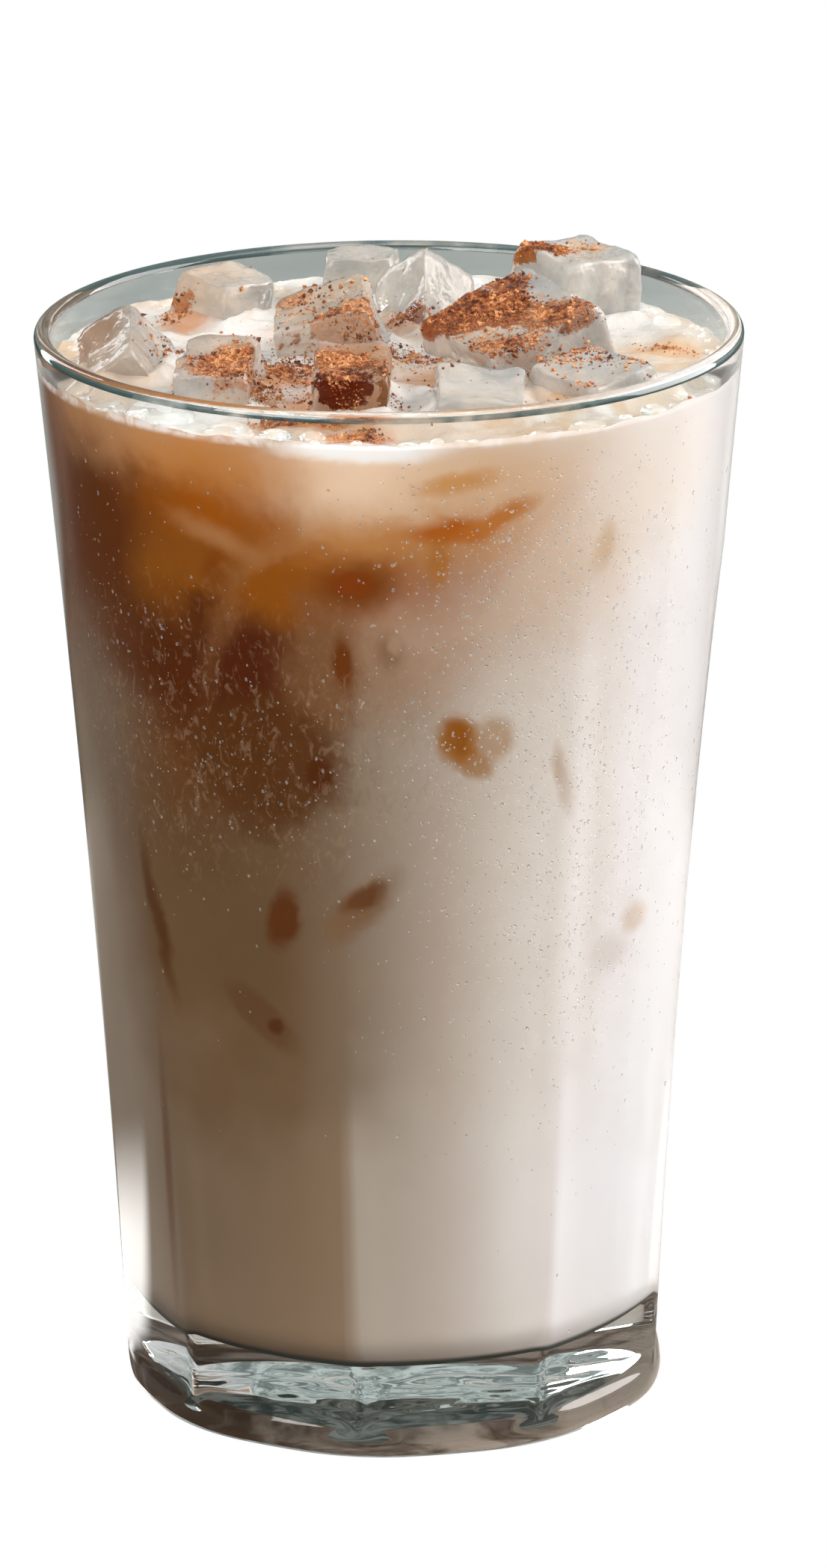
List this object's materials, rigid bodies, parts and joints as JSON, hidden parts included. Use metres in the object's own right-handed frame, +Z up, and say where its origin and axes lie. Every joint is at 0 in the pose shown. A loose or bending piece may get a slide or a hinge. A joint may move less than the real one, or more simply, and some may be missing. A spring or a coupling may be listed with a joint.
{
  "type": "iced horchata in a panelled tumbler",
  "caption": "Tall tapered glass tumbler with a panelled lower wall, filled almost to its rim with an iced, cinnamon-dusted cold drink.",
  "frame": {"origin": "centre of the glass's foot, on the surface it stands on", "axes": "+Z up along the glass; the front of the drink faces -Y"},
  "size_m": [0.0898, 0.0898, 0.1461],
  "materials": {
    "glass": "clear, polished, faint blue-green in the thick foot",
    "horchata": "opaque milky liquid, cream with brown spice swirls",
    "ice": "wet, clouded ice"
  },
  "bodies": {
    "root": {"glass": "glass", "horchata": "horchata", "ice_left": "ice", "ice_front_left": "ice", "ice_small": "ice", "ice_back_left": "ice", "ice_middle": "ice", "ice_back": "ice", "ice_back_right": "ice", "ice_right": "ice", "ice_high": "ice", "ice_front": "ice", "ice_front_right": "ice", "ice_near": "ice"}
  },
  "joints": []
}
